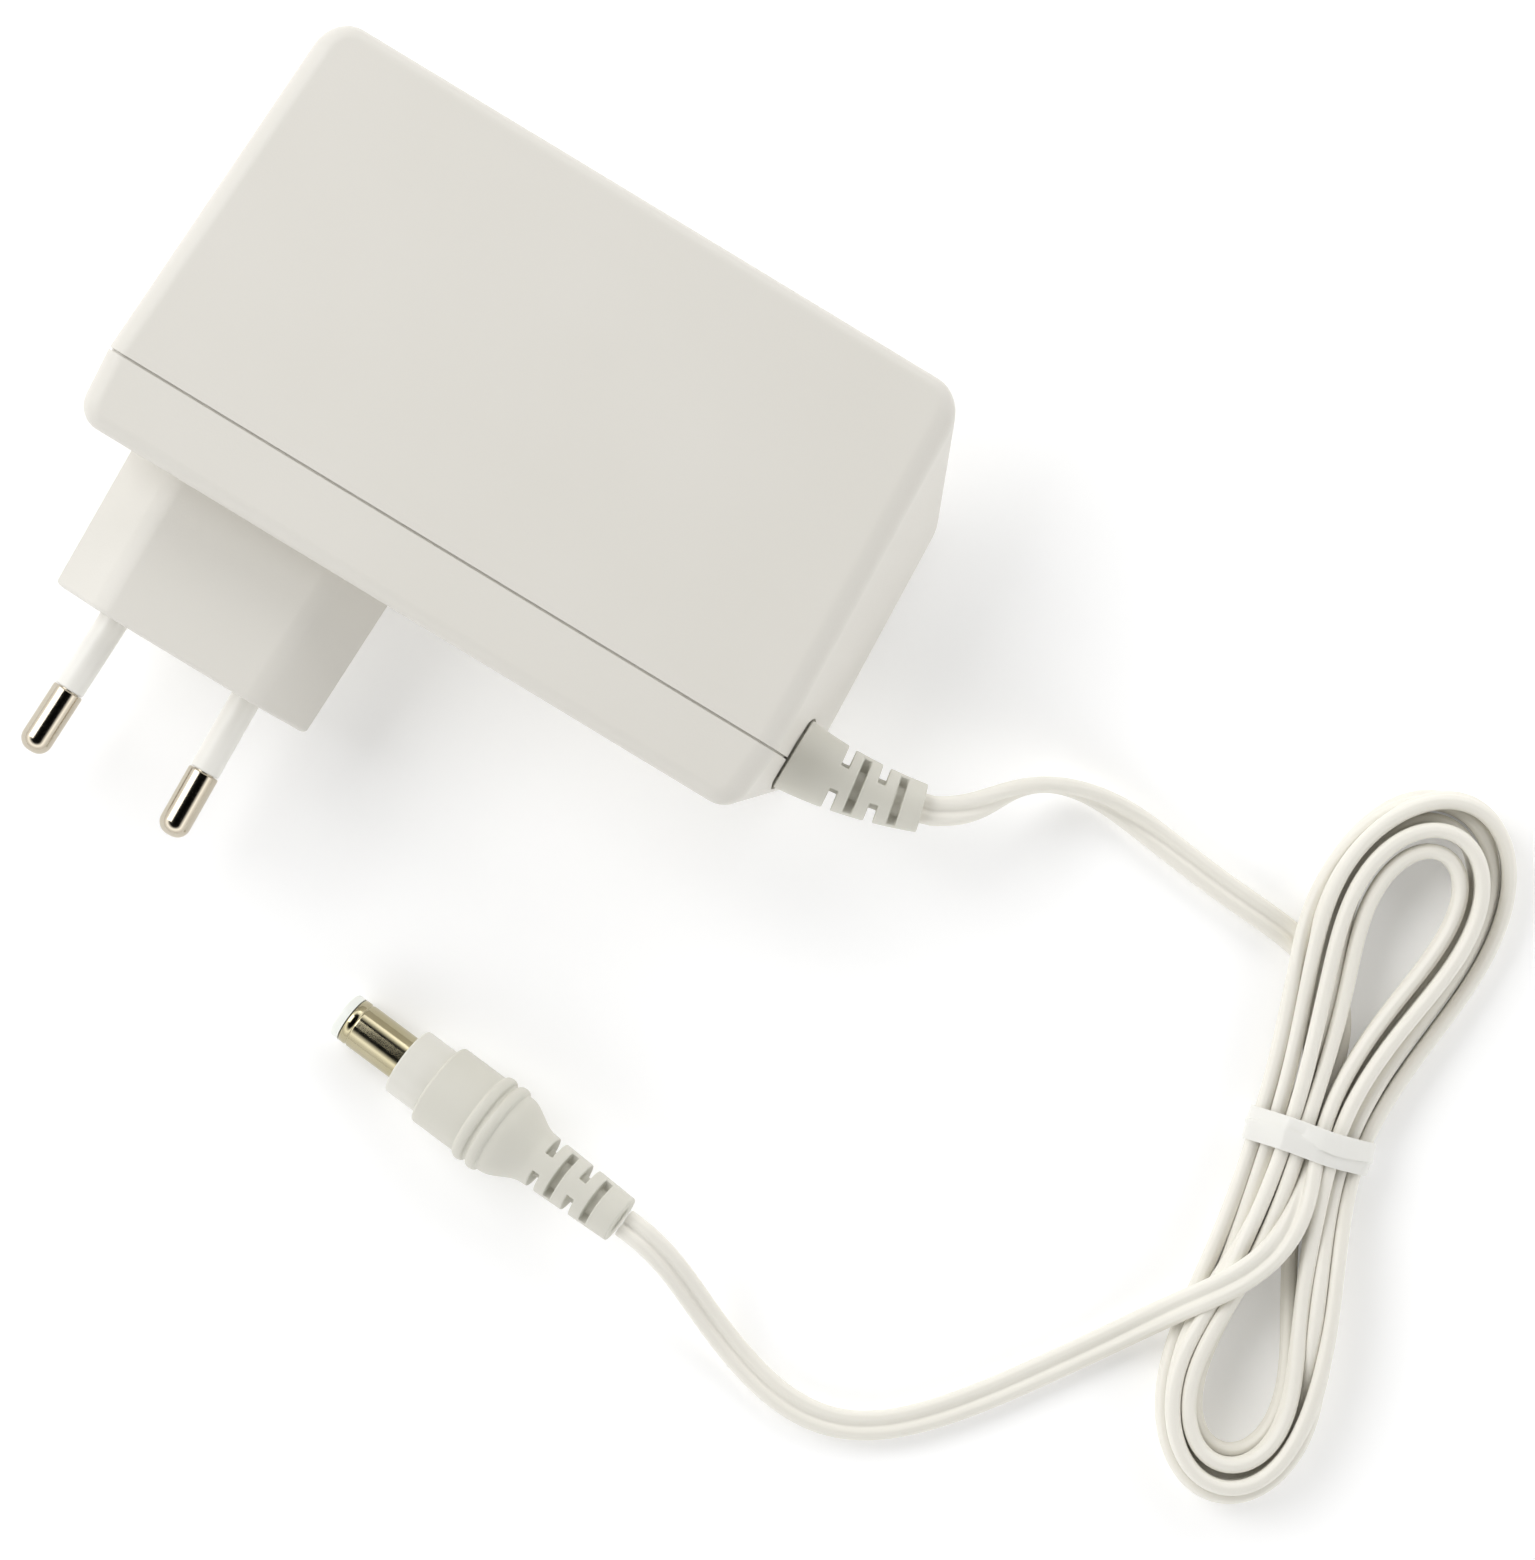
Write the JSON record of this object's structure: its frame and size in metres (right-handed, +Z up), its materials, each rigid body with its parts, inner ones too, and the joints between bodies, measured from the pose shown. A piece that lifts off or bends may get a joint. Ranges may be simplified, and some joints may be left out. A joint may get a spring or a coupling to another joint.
{
  "type": "plug-in power adapter",
  "caption": "White plug-in mains power adapter with a flat twin cord in a tied hank and a round DC plug.",
  "frame": {"origin": "on the underside's plane, under the middle of the box round the case and its mains pins; the cord and what is on it are left out of that box", "axes": "+X along the case towards the strain relief, -Y the way the mains pins point, +Z up from the underside"},
  "size_m": [0.193, 0.1169, 0.03],
  "materials": {
    "case_plastic": "fine moulded texture, satin",
    "moulded_pvc": "soft moulded PVC, satin",
    "cord_pvc": "extruded PVC, slight sheen",
    "tie_pvc": "coated flat strap, glossy",
    "pin_sleeve_nylon": "moulded, smooth",
    "collar_plastic": "moulded, smooth",
    "tip_plastic": "moulded, smooth",
    "pin_nickel": "bright nickel plate on brass",
    "barrel_nickel": "bright nickel plate",
    "contact_brass": "bright",
    "aluminium": "sheared sheet, satin",
    "enamelled_copper": "enamelled wire",
    "board_laminate": "paper laminate, satin",
    "fish_paper": "matte sheet",
    "ferrite": "sintered, matte",
    "winding_tape": "film tape",
    "bobbin_phenolic": "moulded, matte",
    "black_epoxy": "moulded, matte",
    "can_sleeve": "shrink sleeve",
    "yellow_film_case": "moulded box",
    "blue_epoxy": "dipped coating",
    "brown_wire": "extruded PVC",
    "blue_wire": "extruded PVC",
    "red_wire": "extruded PVC",
    "black_wire": "extruded PVC"
  },
  "bodies": {
    "root": {"bridge_rectifier": "black_epoxy", "bulk_capacitor": "can_sleeve", "choke_core": "ferrite", "choke_winding_left": "enamelled_copper", "choke_winding_right": "enamelled_copper", "circuit_board": "board_laminate", "controller_chip": "black_epoxy", "cord_from_case": "cord_pvc", "cord_hank": "cord_pvc", "cord_tie": "tie_pvc", "cord_to_plug": "cord_pvc", "dc_barrel": "barrel_nickel", "dc_collar": "collar_plastic", "dc_contact": "contact_brass", "dc_insulator": "tip_plastic", "dc_lead_negative": "black_wire", "dc_lead_positive": "red_wire", "dc_plug_grip": "moulded_pvc", "front_cover": "case_plastic", "fuse": "black_epoxy", "insulating_sheet": "fish_paper", "mains_lead_left": "brown_wire", "mains_lead_right": "blue_wire", "optocoupler": "black_epoxy", "output_capacitor_1": "can_sleeve", "output_capacitor_2": "can_sleeve", "output_choke": "ferrite", "pin_carrier": "pin_sleeve_nylon", "pin_sleeve_left": "pin_sleeve_nylon", "pin_sleeve_right": "pin_sleeve_nylon", "plug_pin_left": "pin_nickel", "plug_pin_right": "pin_nickel", "primary_heatsink": "aluminium", "rear_housing": "case_plastic", "rectifier_diode": "black_epoxy", "safety_capacitor": "blue_epoxy", "secondary_heatsink": "aluminium", "strain_relief": "moulded_pvc", "switching_transistor": "black_epoxy", "transformer_bobbin": "bobbin_phenolic", "transformer_core_left": "ferrite", "transformer_core_right": "ferrite", "transformer_winding": "winding_tape", "varistor": "blue_epoxy", "x_capacitor": "yellow_film_case"}
  },
  "joints": []
}
